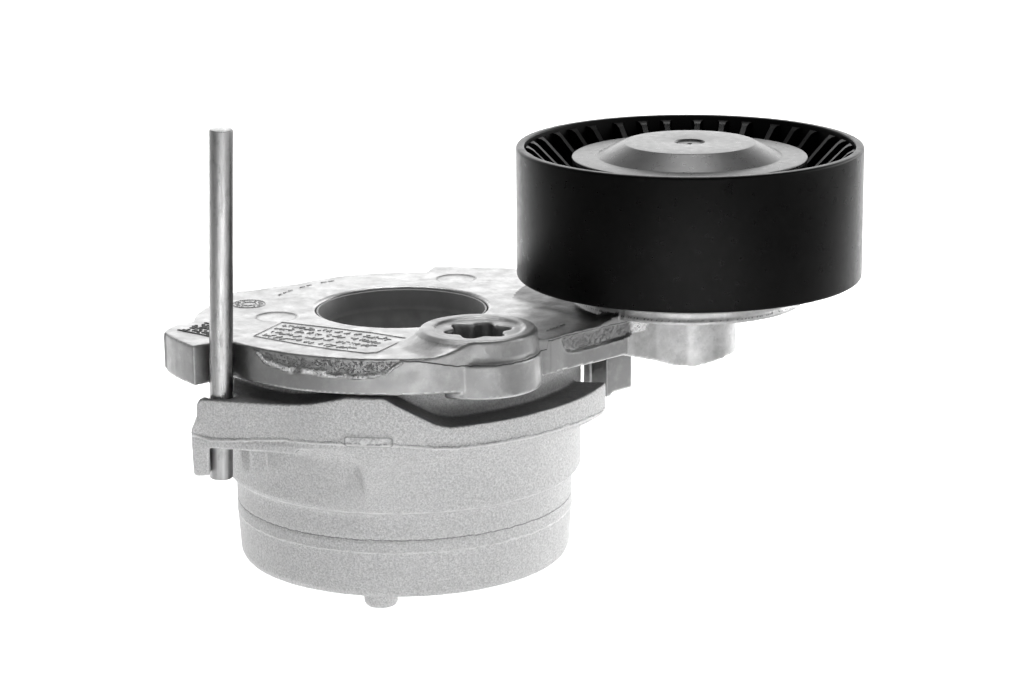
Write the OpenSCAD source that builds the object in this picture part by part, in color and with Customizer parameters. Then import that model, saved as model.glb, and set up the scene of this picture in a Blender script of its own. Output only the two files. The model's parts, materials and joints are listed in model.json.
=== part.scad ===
// Belt tensioner idler for a multi-rib accessory drive belt.
// A die-cast base holds a torsion spring, which turns a cast arm about a steel pivot tube.
// A ribbed plastic pulley runs on a ball bearing at the arm's end, and a steel pin locks the arm.
// Origin: centre of the mounting bolt bore on the base's mounting face.
// +Z runs along the pivot axis towards the arm, +X from the pivot towards the pulley.
// Millimetres and degrees.

/* [Base] */
// Outer radius of the upper part of the base
base_upper_r = 36.3; // [35.5:0.1:37]
// Outer radius of the lower part of the base
base_lower_r = 34.4; // [33.5:0.1:35]
// Height of the base's rim above the mounting face
base_rim_z = 43.2; // [42.6:0.1:43.3]
// Inner radius of the spring chamber
chamber_r = 30.3; // [30.2:0.05:30.6]
// Thickness of the base's floor
floor_t = 7; // [6:0.5:7]
// Radius of the mounting bolt bore
bolt_bore_r = 5.25; // [4.2:0.05:6.25]
// Radius of the locating nub under the base
nub_r = 3.4; // [3:0.1:4]
// Height of the locating nub
nub_h = 3.7; // [3:0.1:5]
// Outer radius of the flange around the front of the base
flange_r = 43; // [42:0.1:43]

/* [Arm] */
// Height of the arm plate's lower face
arm_z0 = 43.7; // [43.7:0.1:44]
// Height of the arm plate's upper face
arm_z1 = 51; // [50.5:0.1:51.5]
// Radius of the arm's front rim
arm_front_r = 42.2; // [41.8:0.1:42.4]
// Radius of the arm's back edge
arm_back_r = 31; // [30.5:0.1:32]
// Radius of the opening in the arm's top
arm_bore_r = 17.55; // [17.5:0.05:17.8]
// Outer radius of the stop tab
tab_r = 50; // [48:0.1:51]
// Radius of the wrench socket boss
wrench_boss_r = 11.5; // [11:0.1:12]
// Height of the top of the wrench socket boss
wrench_boss_z = 53.5; // [53:0.1:54]
// Distance across the tips of the six-lobe wrench socket
socket_d = 13.4; // [13:0.1:14]

/* [Pivot] */
// Outer radius of the pivot tube
tube_r = 17.3; // [17.2:0.05:17.3]
// Wall of the pivot tube
tube_wall = 1.3; // [1.2:0.1:1.5]
// Radial running clearance of the pivot bushes
bush_clear = 0.05; // [0.02:0.01:0.1]

/* [Pulley] */
// Outer radius of the pulley
pulley_r = 35; // [34:0.5:36]
// Height of the pulley's lower edge
pulley_z0 = 56.6; // [56.5:0.1:57.2]
// Height of the pulley's upper edge
pulley_z1 = 83.2; // [82.5:0.1:84]
// Number of groups of three ribs
rib_groups = 12; // [10:1:14]

/* [Spring] */
// Wire diameter of the torsion spring
wire_d = 5.8; // [5:0.1:5.9]
// Mean radius of the torsion spring's coil
coil_r = 27.15; // [27:0.05:27.2]
// Rise of the coil per turn
coil_pitch = 6.1; // [6:0.05:6.1]
// Turns of the torsion spring
coil_turns = 3.75; // [2.75:1:3.75]

/* [Locking pin] */
// Radius of the locking pin
pin_r = 2.3; // [2:0.05:2.3]
// Length of the locking pin
pin_l = 69.5; // [60:0.5:72]
// Lean of the pin in its loose hole
pin_lean = 3.1; // [0:0.1:3.1]

/* [Hidden] */
$fn = 96;
eps = 0.01;

// Places shared by several sub-parts
pulley_at = [58.4, 3.7];
wrench_at = [15.8, -28];
nub_at = [-4.1, -25.5];
pin_at = [-33.9, -30.3];
pin_mid_z = 47.2;
pin_low_z = 24.1;
pin_angle = atan2(pin_at.y, pin_at.x);
pin_slope = [-sin(pin_angle) * tan(pin_lean), cos(pin_angle) * tan(pin_lean)];
tab_face = 218.45;
boss_clear_r = 39.4;
pin_gap = 0.35;

// Heights inside the base
seat_t = 1.4;
washer_t = 2.2;
tube_top = 50.5;
tube_foot = 3;
hub_z0 = 9.5;
hub_r = 22.3;
bush_r = 19.3;
ring_z = 31;
ring_t = 1.4;
bush_top = 49.2;
shoe_z0 = 38.6;
shoe_a0 = 272;
shoe_a1 = 384;

// Bearing: 17 x 40 x 12 deep-groove ball bearing
bearing_z0 = 64;
bearing_b = 12;
bearing_bore = 8.5;
bearing_out = 20;
inner_land = 11.3;
outer_land = 17.2;
ball_r = 3.37;
ball_pitch = 14.25;
groove_r = 3.42;
ball_count = 8;
bolt_r = 5;
seat_top = 54.9;
pad_top = 55.1;
shield_t = 0.8;

function polar(r, a) = [r * cos(a), r * sin(a)];
function arc(r, a0, a1, n) = [for (i = [0:n]) polar(r, a0 + (a1 - a0) * i / n)];
function bearing_mid() = bearing_z0 + bearing_b / 2;

// Plan wedge from angle a0 to a1, used to cut sectors out of round shapes
module wedge(a0, a1, r = 80) {
    polygon(concat([[0, 0]], arc(r, a0, a1, 8)));
}

// Flat ring standing on z0
module ring(r_out, r_in, z0, z1) {
    translate([0, 0, z0]) difference() {
        cylinder(r = r_out, h = z1 - z0);
        translate([0, 0, -1]) cylinder(r = r_in, h = z1 - z0 + 2);
    }
}

// Part of a flat ring between two angles
module ring_sector(r_out, r_in, z0, z1, a0, a1) {
    intersection() {
        ring(r_out, r_in, z0, z1);
        translate([0, 0, z0]) linear_extrude(z1 - z0) wedge(a0, a1);
    }
}

// Extrudes an outline drawn in X and Z along Y, from y0 to y1
module side_profile(y0, y1) {
    translate([0, y1, 0]) rotate([90, 0, 0]) linear_extrude(y1 - y0) children();
}

// ---- base ----

// Turned shape of the cup, with its step, its seam groove and the drafted foot
module cup_profile() {
    groove_z = 12.3;
    polygon([[bolt_bore_r, 0], [32.2, 0], [33.3, 0.5], [33.8, 1.6], [base_lower_r - 0.1, 9.7],
             [base_lower_r, 9.7], [base_lower_r, groove_z - 0.25], [base_lower_r - 0.35, groove_z],
             [base_lower_r, groove_z + 0.25], [base_lower_r, 17.6], [base_upper_r - 0.5, 18.2],
             [base_upper_r, 19], [base_upper_r, base_rim_z - 0.6], [base_upper_r - 0.6, base_rim_z],
             [chamber_r + 0.5, base_rim_z], [chamber_r, base_rim_z - 0.5], [chamber_r, floor_t],
             [tube_r, floor_t], [tube_r, tube_foot], [tube_r - tube_wall, tube_foot],
             [tube_r - tube_wall, floor_t], [bolt_bore_r, floor_t]]);
}

// Plan of the pin lug: a near-straight front wall that runs into the round flange
module lug_plan(grow = 0) {
    polygon([[-38.8 - grow, -32.5 - grow], [-31.7, -34.6 - grow], [-26, -36.2 - grow],
             [-19.4, -38 - grow], [-12, -12], [-34, -11], [-38.4 - grow, -18]]);
}

// Front view of the flange: lug, raised stop tower and the lower run to the right
module flange_heights() {
    polygon([[-45, 31.2], [-26, 31.4], [-17, 32.2], [-12, 31.5], [-6.7, 30], [-3, 29.5],
             [0.5, 30.1], [5, 31.6], [9, 32.4], [45, 32.4], [45, 38.2], [40, 38.2], [10.4, 37.3],
             [7.6, 38], [5.2, 39.3], [2.1, 41], [0, 42.1], [-1.6, 43.1], [-2.4, 43.4], [-9, 43.4],
             [-12.2, 42.6], [-15.7, 41.7], [-20.3, 41], [-26, 40.8], [-37.4, 40.8],
             [-38.3, 40.4], [-38.7, 39.6], [-45, 39.6]]);
}

module flange() {
    intersection() {
        side_profile(-50, 0) flange_heights();
        translate([0, 0, 20]) linear_extrude(30) difference() {
            union() {
                intersection() {
                    circle(r = flange_r);
                    wedge(240, 342.5);
                }
                lug_plan();
            }
            circle(r = base_upper_r - 1);
        }
    }
    // parting lip along the flange's lower edge
    ring_sector(flange_r + 0.3, base_upper_r - 1, 32.4, 33.6, 278, 339);
    // small raised pad on the front of the tower
    ring_sector(flange_r + 0.3, base_upper_r - 1, 34, 35.7, 257, 269);
    // fillet under the flange
    intersection() {
        rotate_extrude() polygon([[base_upper_r - 1, 28.8], [base_upper_r, 28.8], [37, 30.4],
                                  [38.6, 31.6], [41, 32.4], [base_upper_r - 1, 32.4]]);
        linear_extrude(50) wedge(226, 339);
    }
    // web that carries the tower
    intersection() {
        rotate_extrude() polygon([[base_upper_r - 1, 19.4], [base_upper_r, 19.4],
                                  [flange_r - 0.2, 30.8], [flange_r - 0.2, 33],
                                  [base_upper_r - 1, 33]]);
        linear_extrude(50) wedge(259.5, 268.5);
    }
}

module pin_lug_lower() {
    // lip that stands proud around the lug's lower edge
    translate([0, 0, 31.2]) linear_extrude(1.7) difference() {
        lug_plan(0.4);
        circle(r = base_upper_r - 1);
    }
    // wider lower part on the outside, and the outer leg beside the pin
    side_profile(-32.9, -18)
        polygon([[-39.9, 31.2], [-36.5, 31.2], [-36.5, 36.4], [-38.8, 36.4], [-39.9, 34.8]]);
    side_profile(-33.1, -22.7)
        polygon([[-39.3, 25.3], [-36.9, 25.3], [-36.5, 25.7], [-36.5, 32], [-39.9, 32],
                 [-39.7, 25.9]]);
    // gusset between the lug and the cup
    rotate([0, 0, pin_angle]) translate([base_upper_r - 1.5, -1.6, 24]) cube([5.6, 3.2, 8]);
}

module base_housing() {
    color("lightgray") difference() {
        union() {
            rotate_extrude() cup_profile();
            flange();
            pin_lug_lower();
            translate([nub_at.x, nub_at.y, -nub_h + 0.7]) cylinder(r = nub_r, h = nub_h);
            translate([nub_at.x, nub_at.y, -nub_h]) cylinder(r1 = nub_r - 0.5, r2 = nub_r, h = 0.7);
            // stop block that the spring's lower end bears on
            ring_sector(chamber_r + 1, 24.5, floor_t - 1, 13.4, -8, -3);
        }
        // generous hole for the locking pin, open at the back of the lug's upper half
        along_pin(20) cylinder(r = pin_r + pin_gap, h = 30);
        translate([-45, -30.6, 35.2]) cube([12.2, 20, 10]);
    }
}

// Places its children on the leaning pin's axis, at height z
module along_pin(z) {
    translate([pin_at.x + pin_slope.x * (z - pin_mid_z), pin_at.y + pin_slope.y * (z - pin_mid_z), z])
        rotate([0, 0, pin_angle + 90]) rotate([0, pin_lean, 0]) children();
}

// ---- pivot ----

module pivot_tube() {
    inner = tube_r - tube_wall;
    groove = tube_r - 0.55;
    color("dimgray") rotate_extrude()
        polygon([[inner, tube_foot], [tube_r, tube_foot], [tube_r, ring_z - 0.05],
                 [groove, ring_z - 0.05], [groove, ring_z + ring_t + 0.05],
                 [tube_r, ring_z + ring_t + 0.05], [tube_r, tube_top - 0.2],
                 [tube_r - 0.15, tube_top], [tube_r - 0.35, tube_top], [inner, tube_top - 4]]);
}

module thrust_washer() {
    color("ivory") ring(23, tube_r + 0.1, floor_t, floor_t + washer_t);
}

module lower_spring_seat() {
    color("darkslategray") difference() {
        ring(chamber_r - 0.1, 24, floor_t, floor_t + seat_t);
        linear_extrude(20) wedge(-9.5, -1.5);
    }
}

// Circular wire swept along the coil as one closed solid
module torsion_spring() {
    sides = 8;
    per_turn = 24;
    steps = round(coil_turns * per_turn);
    z_low = floor_t + seat_t + wire_d / 2 + 0.02;
    function wire_point(i, k) =
        let (a = 360 * i / per_turn, b = 360 * k / sides, r = coil_r + wire_d / 2 * cos(b))
        [r * cos(a), r * sin(a), z_low + coil_pitch * a / 360 + wire_d / 2 * sin(b)];
    points = [for (i = [0:steps]) for (k = [0:sides - 1]) wire_point(i, k)];
    walls = [for (i = [0:steps - 1]) for (k = [0:sides - 1])
                let (n = (k + 1) % sides)
                [i * sides + k, i * sides + n, (i + 1) * sides + n, (i + 1) * sides + k]];
    first_end = [for (k = [sides - 1:-1:0]) k];
    last_end = [for (k = [0:sides - 1]) steps * sides + k];
    color("slategray") polyhedron(points, concat([first_end], walls, [last_end]), convexity = 10);
}

// Open snap ring in the tube's groove, which holds the arm down
module retaining_ring() {
    color("silver") ring_sector(18.9, tube_r - 0.5, ring_z, ring_z + ring_t, 10, 350);
}

// ---- arm ----

// Plan of the arm: back arc, left flank, stop tab, front rim and the neck to the pulley
module arm_plan() {
    circle(r = arm_back_r);
    intersection() {
        circle(r = arm_front_r);
        wedge(tab_face, 300);
    }
    intersection() {
        circle(r = tab_r);
        wedge(204.2, tab_face);
    }
    polygon([[0, 0], polar(tab_r - 1, 206.5), polar(tab_r + 0.3, 203.6), polar(tab_r - 0.8, 201.2),
             polar(46.2, 197), polar(42.7, 194.9), polar(41.5, 187), polar(39.4, 177),
             polar(38.6, 167), polar(37.6, 157), polar(34.6, 152.5), polar(32.9, 144),
             polar(arm_back_r - 3, 127)]);
    polygon([[0, 0], polar(arm_back_r - 2, 83), polar(37.6, 81), polar(37.6, 73.5),
             polar(38.7, 64), polar(40.7, 57), [38, 26], [52, 17], [61, 9.5], [61, 0], [57.8, -5.9],
             [51, -8.2], [45.4, -12.4], [42.2, -15.3], [39.1, -18.5], [36, -21.1], [32.6, -24.1],
             [29.9, -27.5], [26, -29], [16, -24]]);
    translate(pulley_at) circle(r = 9.7);
}

// Side view of the arm: flat plate, rise under the pulley and deeper pulley boss
module arm_heights() {
    polygon([[-60, arm_z0], [44.3, arm_z0], [51, 41.2], [55, 39.8], [58.9, 39.3], [65.5, 40.5],
             [80, 40.5], [80, 54.3], [50, 54.3], [46, 53.5], [43, 52.3], [39, arm_z1], [-60, arm_z1]]);
}

module socket_outline(r_tip) {
    depth = 0.94;
    polygon([for (i = [0:71]) polar(r_tip - depth + depth * cos(30 * i), 5 * i)]);
}

// Round boss on the arm's front edge. Only its front reaches below the plate, clear of the base.
module wrench_boss() {
    difference() {
        translate([wrench_at.x, wrench_at.y, 0]) rotate_extrude()
            polygon([[0, 42.1], [wrench_boss_r + 0.5, 42.1], [wrench_boss_r + 0.8, 42.4],
                     [wrench_boss_r + 0.8, 48.8], [wrench_boss_r + 0.4, 49.1],
                     [wrench_boss_r + 0.1, 50], [wrench_boss_r, wrench_boss_z - 0.35],
                     [wrench_boss_r - 0.35, wrench_boss_z], [0, wrench_boss_z]]);
        translate([0, 0, 40]) cylinder(r = boss_clear_r, h = arm_z0 + 0.4 - 40);
    }
}

// Cast fillet between the boss's left side and the arm's front rim
module boss_skirt() {
    intersection() {
        translate([wrench_at.x, wrench_at.y, 0]) intersection() {
            rotate_extrude()
                polygon([[wrench_boss_r - 1, 50], [wrench_boss_r + 4.6, 50], [wrench_boss_r + 4.6, 50.9],
                         [wrench_boss_r + 2.6, 51.5], [wrench_boss_r + 1.2, 52.3],
                         [wrench_boss_r + 0.4, 53], [wrench_boss_r - 1, 53.2]]);
            linear_extrude(60) wedge(182, 268, 20);
        }
        cylinder(r = arm_front_r, h = 60);
    }
}

// Hanging lug that meets the flange's end when the arm is loaded fully
module stop_lug() {
    lug_z = 32.9;
    translate([0, 0, lug_z]) linear_extrude(arm_z0 - lug_z + 1)
        polygon([[41.6, -2.9], [46.8, 2.4], [43.8, 8.6], [38.2, 7.4], [38.5, 0]]);
    // rounded post at the lug's inner end
    translate([38, 7.6, 30.9]) cylinder(r = 1, h = arm_z0 - 30.9 + 1, $fn = 32);
    translate([0, 0, lug_z - 0.6]) linear_extrude(2)
        polygon([[41.6, -2.9], [42.4, -2], [40.2, 1], [38.6, 0]]);
}

// The stop tab reaches a little below the plate
module stop_tab_foot() {
    ring_sector(tab_r, 43.4, 43, arm_z0 + 1, 204.2, tab_face);
}

module arm_hub() {
    rotate_extrude()
        polygon([[bush_r, hub_z0], [hub_r, hub_z0], [hub_r, arm_z0 + 1], [bush_r, arm_z0 + 1],
                 [bush_r, ring_z - 0.3], [18, ring_z - 0.3], [18, 20], [bush_r, 20]]);
}

module tensioner_arm() {
    color("gainsboro") difference() {
        union() {
            intersection() {
                side_profile(-60, 60) arm_heights();
                translate([0, 0, 38]) linear_extrude(20) arm_plan();
            }
            arm_hub();
            stop_tab_foot();
            wrench_boss();
            boss_skirt();
            stop_lug();
            translate([pulley_at.x, pulley_at.y, 0]) {
                ring(23.2, 8, 51.3, 52);
                ring(22.9, 8, 51.9, seat_top);
                translate([0, 0, 50]) cylinder(r = 10, h = pad_top - 50);
            }
        }
        // opening in the top, its chamfer and the pocket of the upper bush
        translate([0, 0, arm_z0 - 2]) cylinder(r = arm_bore_r, h = 20);
        translate([0, 0, arm_z1 - 0.4]) cylinder(r1 = arm_bore_r, r2 = arm_bore_r + 0.45, h = 0.41);
        translate([0, 0, arm_z0 - 2]) cylinder(r = bush_r, h = bush_top - arm_z0 + 2);
        // wrench socket with its shallow counterbore
        translate([wrench_at.x, wrench_at.y, 0]) {
            translate([0, 0, wrench_boss_z - 0.5]) cylinder(r = 8.8, h = 2);
            translate([0, 0, wrench_boss_z - 8]) linear_extrude(10) rotate([0, 0, 15])
                socket_outline(socket_d / 2);
        }
        // long cast recess in the neck's front wall
        translate([33.2, -23.7, 0]) rotate([0, 0, 43]) side_profile(-2, 0.55)
            polygon([[-1.8, 50.4], [-1.6, 49.8], [-0.9, 48.2], [-0.3, 47.4], [1, 47], [3.5, 46.9],
                     [15.3, 47.2], [17.8, 47.7], [17.8, 50.4]]);
        // threaded hole for the pulley bolt
        translate([pulley_at.x, pulley_at.y, 42]) cylinder(r = bolt_r, h = 20);
    }
}

module upper_pivot_bush() {
    color("darkolivegreen") ring(bush_r, tube_r + bush_clear, ring_z + ring_t + 0.6, bush_top);
}

module lower_pivot_bush() {
    color("darkolivegreen") ring(bush_r, tube_r + bush_clear, hub_z0 + 0.3, 20);
}

// Friction shoe that rubs on the chamber wall, and the steel backing that the spring pushes
module damping_shoe() {
    color("saddlebrown") ring_sector(chamber_r - 0.06, 27.1, shoe_z0, arm_z0, shoe_a0, shoe_a1);
}

module shoe_backing() {
    color("lightslategray") {
        ring_sector(27.1, 24.2, shoe_z0, arm_z0, shoe_a0, shoe_a1);
        ring_sector(29.6, 24.6, 32.4, shoe_z0 - 0.2, shoe_a0, shoe_a0 + 6);
        ring_sector(27.1, 24.6, shoe_z0 - 1, shoe_z0 + 1, shoe_a0, shoe_a0 + 6);
    }
}

// ---- pulley and its bearing ----

module at_pulley() {
    translate([pulley_at.x, pulley_at.y, 0]) children();
}

module rear_dust_shield() {
    color("silver") at_pulley() {
        ring(30, bolt_r + 0.1, pad_top, pad_top + shield_t);
        ring(30, 29.4, pad_top + shield_t - eps, pad_top + shield_t + 0.5);
    }
}

module rear_spacer() {
    color("darkgray") at_pulley() ring(11.2, bolt_r + 0.1, pad_top + shield_t, bearing_z0);
}

module pulley_sleeve() {
    color("darkgray") at_pulley()
        ring(bearing_bore, bolt_r + 0.1, bearing_z0, bearing_z0 + bearing_b);
}

// Bearing ring between two radii, with the ball groove turned out of it
module raceway_ring(r_out, r_in) {
    at_pulley() difference() {
        ring(r_out, r_in, bearing_z0, bearing_z0 + bearing_b);
        translate([0, 0, bearing_mid()]) rotate_extrude()
            translate([ball_pitch, 0]) circle(r = groove_r, $fn = 48);
    }
}

module bearing_inner_ring() {
    color("silver") raceway_ring(inner_land, bearing_bore);
}

module bearing_outer_ring() {
    color("silver") raceway_ring(bearing_out, outer_land);
}

module bearing_balls() {
    color("whitesmoke") at_pulley() translate([0, 0, bearing_mid()])
        for (i = [0:ball_count - 1])
            rotate([0, 0, 360 * i / ball_count]) translate([ball_pitch, 0, 0])
                sphere(r = ball_r, $fn = 32);
}

module ball_cage() {
    color("peru") at_pulley() translate([0, 0, bearing_mid()]) difference() {
        ring(15.1, 13.4, -4.2, 4.2);
        for (i = [0:ball_count - 1])
            rotate([0, 0, 360 * i / ball_count]) translate([12, 0, 0]) rotate([0, 90, 0])
                cylinder(r = ball_r + 0.06, h = 5, $fn = 48);
    }
}

module bearing_seal(z) {
    at_pulley() ring(outer_land - 0.05, inner_land + 0.15, z, z + 1);
}

module bearing_seal_front() {
    color("black") bearing_seal(bearing_z0 + bearing_b - 1.4);
}

module bearing_seal_rear() {
    color("black") bearing_seal(bearing_z0 + 0.4);
}

module pulley_bolt() {
    head_z = bearing_z0 + bearing_b;
    color("gray") at_pulley() {
        translate([0, 0, 43]) cylinder(r = bolt_r - 0.04, h = head_z - 43 + 1);
        translate([0, 0, head_z]) cylinder(r = 10.4, h = 1.5);
        translate([0, 0, head_z + 1.4]) cylinder(r = 8.6, h = 4.8, $fn = 6);
    }
}

// Radial rib between the pulley's hub and its rim, seen from the side
module rib() {
    rotate([90, 0, 0]) translate([0, 0, -0.55]) linear_extrude(1.1)
        polygon([[23, pulley_z0 + 4], [33.4, pulley_z0 + 1], [33.4, pulley_z1 - 0.9],
                 [32.2, pulley_z1 - 1.3], [26.4, pulley_z1 - 6.6], [23, pulley_z1 - 7.4]]);
}

module pulley_rim() {
    hub_top = 80.3;
    rib_steps = [0, 8.9, 18.4];
    color([0.12, 0.12, 0.12]) at_pulley() {
        rotate_extrude()
            polygon([[bearing_out, 63], [23.6, 63], [23.6, 68], [32.8, 68], [32.8, pulley_z0 + 0.5],
                     [33.3, pulley_z0], [pulley_r - 0.5, pulley_z0], [pulley_r, pulley_z0 + 0.5],
                     [pulley_r, pulley_z1 - 0.5], [pulley_r - 0.5, pulley_z1], [33.5, pulley_z1],
                     [33.1, pulley_z1 - 0.4], [32.8, 71], [23.6, 71], [23.6, hub_top],
                     [bearing_out, hub_top]]);
        for (g = [0:rib_groups - 1])
            for (step = rib_steps)
                rotate([0, 0, (360 * g + step * 12) / rib_groups + 5.3]) rib();
    }
}

module dust_cap() {
    color([0.3, 0.3, 0.3]) at_pulley() difference() {
        rotate_extrude()
            polygon([[0, 82.3], [12.6, 82.3], [17.6, 80.3], [18.3, 80.3], [18.3, 76], [19.9, 76],
                     [19.9, 80.3], [23.75, 80.3], [23.75, 80.7], [23.5, 80.9], [18.65, 80.9],
                     [13.4, 83.5], [13, 83.7], [0, 83.7]]);
        // shallow round recess with a small pit where the mould was filled
        translate([0, 0, 83.3]) cylinder(r = 3.05, h = 1);
        translate([0, 0, 82.9]) cylinder(r = 0.5, h = 1, $fn = 32);
    }
}

// ---- locking pin ----

module locking_pin() {
    color("silver") along_pin(pin_low_z) rotate_extrude()
            polygon([[0, 0], [pin_r - 0.35, 0], [pin_r, 0.35], [pin_r, pin_l - 0.35],
                     [pin_r - 0.35, pin_l], [0, pin_l]]);
}

base_housing();
pivot_tube();
thrust_washer();
lower_spring_seat();
torsion_spring();
retaining_ring();
tensioner_arm();
upper_pivot_bush();
lower_pivot_bush();
damping_shoe();
shoe_backing();
rear_dust_shield();
rear_spacer();
pulley_sleeve();
bearing_inner_ring();
pulley_bolt();
pulley_rim();
bearing_outer_ring();
bearing_seal_front();
bearing_seal_rear();
dust_cap();
bearing_balls();
ball_cage();
locking_pin();
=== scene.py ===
"""Looks of the belt tensioner idler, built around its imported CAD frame.

The two castings are fine remeshed copies of their CAD solids, softened and worked like cast metal.
Turned and moulded parts are lathed from profiles with rounded corners.
All lengths are in metres, in the CAD frame; MM turns millimetres into metres.
"""
import json
import math
import random

import bmesh
import bpy
import numpy as np
from mathutils import Matrix, Vector, noise


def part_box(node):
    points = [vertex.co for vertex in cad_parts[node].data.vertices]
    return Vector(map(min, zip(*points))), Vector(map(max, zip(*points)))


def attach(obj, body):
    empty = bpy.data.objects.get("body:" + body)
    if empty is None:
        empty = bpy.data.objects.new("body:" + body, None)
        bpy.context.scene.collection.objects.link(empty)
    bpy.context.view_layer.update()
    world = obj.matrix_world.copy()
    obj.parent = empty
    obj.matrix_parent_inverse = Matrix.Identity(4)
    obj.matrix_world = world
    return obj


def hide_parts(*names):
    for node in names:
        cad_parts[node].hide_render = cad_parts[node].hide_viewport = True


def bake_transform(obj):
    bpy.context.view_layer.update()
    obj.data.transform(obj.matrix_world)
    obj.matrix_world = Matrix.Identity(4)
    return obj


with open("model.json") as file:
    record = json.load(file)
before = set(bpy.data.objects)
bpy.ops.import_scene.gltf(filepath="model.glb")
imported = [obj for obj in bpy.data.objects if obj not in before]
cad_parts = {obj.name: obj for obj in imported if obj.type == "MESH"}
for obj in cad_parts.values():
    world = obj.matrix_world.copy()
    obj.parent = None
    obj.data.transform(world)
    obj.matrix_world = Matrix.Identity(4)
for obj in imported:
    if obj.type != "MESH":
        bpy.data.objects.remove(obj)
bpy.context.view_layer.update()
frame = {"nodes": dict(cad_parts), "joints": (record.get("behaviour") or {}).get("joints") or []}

MM = 0.001
NODES = frame["nodes"]
SCENE = bpy.context.scene

# Places worked out from the frame, in metres
PULLEY_LO, PULLEY_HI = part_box("pulley_rim")
PULLEY_X, PULLEY_Y = ((PULLEY_LO + PULLEY_HI) / 2).xy

# Places on the two castings, in millimetres
CUP_SEAMS = (9.8, 18.25)  # heights of the parting lines around the cup
CUP_GROOVE = 12.3  # height of the dark groove between them
LEDGE_Z = 36.5  # the flange's top lies above this height
ARM_TOP = 51  # height of the arm's top
BOSS_AT = (15.8, -28.0)  # middle of the wrench boss
NECK_FOOT = (33.2, -23.7)  # where the neck's front wall starts
NECK_ALONG = (0.7314, 0.6820)  # and its direction, at 43 degrees
EJECTOR_MARKS = ((-24.8, -7.9), (10.6, 24.6))
DATE_RING = (-31.2, 3.2)


# ---- camera, floor and light ----

def make_camera():
    """Camera at the photograph's angle: 14 degrees above the horizon, looking along +Y."""
    pitch, roll, yaw = math.radians(14.295), math.radians(-0.4916), math.radians(0.0341)
    spot = Vector((22.67, -590.33, 193.87)) * MM
    data = bpy.data.cameras.new("camera")
    data.lens = 105.33
    data.sensor_width = 36
    data.clip_end = 20
    camera = bpy.data.objects.new("camera", data)
    SCENE.collection.objects.link(camera)
    look = (Matrix.Rotation(yaw, 4, "Z") @ Matrix.Rotation(math.pi / 2 - pitch, 4, "X")
            @ Matrix.Rotation(roll, 4, "Z"))
    camera.matrix_world = Matrix.Translation(spot) @ look
    SCENE.camera = camera


def make_floor():
    """Plain pale floor, a little below the part, which hangs free as on a packshot."""
    size, level = 6.0, -0.14
    mesh = bpy.data.meshes.new("floor")
    mesh.from_pydata([(-size, -size, level), (size, -size, level), (size, size, level),
                      (-size, size, level)], [], [(0, 1, 2, 3)])
    floor = bpy.data.objects.new("floor", mesh)
    SCENE.collection.objects.link(floor)
    material = bpy.data.materials.new("floor_paper")
    material.use_nodes = True
    shader = material.node_tree.nodes["Principled BSDF"]
    shader.inputs["Base Color"].default_value = (0.7, 0.7, 0.7, 1)
    shader.inputs["Roughness"].default_value = 0.9
    mesh.materials.append(material)


def make_world():
    """Studio that is bright low down at the back, soft overhead and dim on the camera's side."""
    world = bpy.data.worlds.new("studio")
    SCENE.world = world
    world.use_nodes = True
    tree = world.node_tree
    tree.nodes.clear()
    place = tree.nodes.new("ShaderNodeTexCoord")
    split = tree.nodes.new("ShaderNodeSeparateXYZ")
    tree.links.new(place.outputs["Generated"], split.inputs[0])

    def ramp(axis, low, high, dark, bright):
        node = tree.nodes.new("ShaderNodeMapRange")
        node.interpolation_type = "SMOOTHSTEP"
        for name, value in (("From Min", low), ("From Max", high), ("To Min", dark),
                            ("To Max", bright)):
            node.inputs[name].default_value = value
        tree.links.new(split.outputs[axis], node.inputs["Value"])
        return node.outputs["Result"]

    def combine(operation, a, b):
        node = tree.nodes.new("ShaderNodeMath")
        node.operation = operation
        tree.links.new(a, node.inputs[0])
        tree.links.new(b, node.inputs[1])
        return node.outputs[0]

    backdrop = combine("MULTIPLY", ramp("Y", -0.35, 0.7, 0.55, 2.2), ramp("Z", 0.2, 0.65, 1.0, 0.12))
    sides = combine("MULTIPLY", ramp("X", -1.0, -0.3, 0.30, 1.0), ramp("X", 0.45, 1.0, 1.0, 2.2))
    light = tree.nodes.new("ShaderNodeBackground")
    tree.links.new(combine("MULTIPLY", backdrop, sides), light.inputs["Strength"])
    light.inputs["Color"].default_value = (1, 1, 1, 1)
    out = tree.nodes.new("ShaderNodeOutputWorld")
    tree.links.new(light.outputs[0], out.inputs["Surface"])


def soft_light(name, spot, target, size, watts, spread, mirrored=True):
    """Square soft box at spot, aimed at target; spread is its beam angle in degrees."""
    data = bpy.data.lights.new(name, "AREA")
    data.shape = "SQUARE"
    data.size = size
    data.spread = math.radians(spread)
    data.energy = watts
    lamp = bpy.data.objects.new(name, data)
    SCENE.collection.objects.link(lamp)
    aim = (Vector(target) - Vector(spot)).to_track_quat("-Z", "Y").to_matrix().to_4x4()
    lamp.matrix_world = Matrix.Translation(Vector(spot)) @ aim
    lamp.visible_glossy = mirrored


# ---- node materials ----

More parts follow.
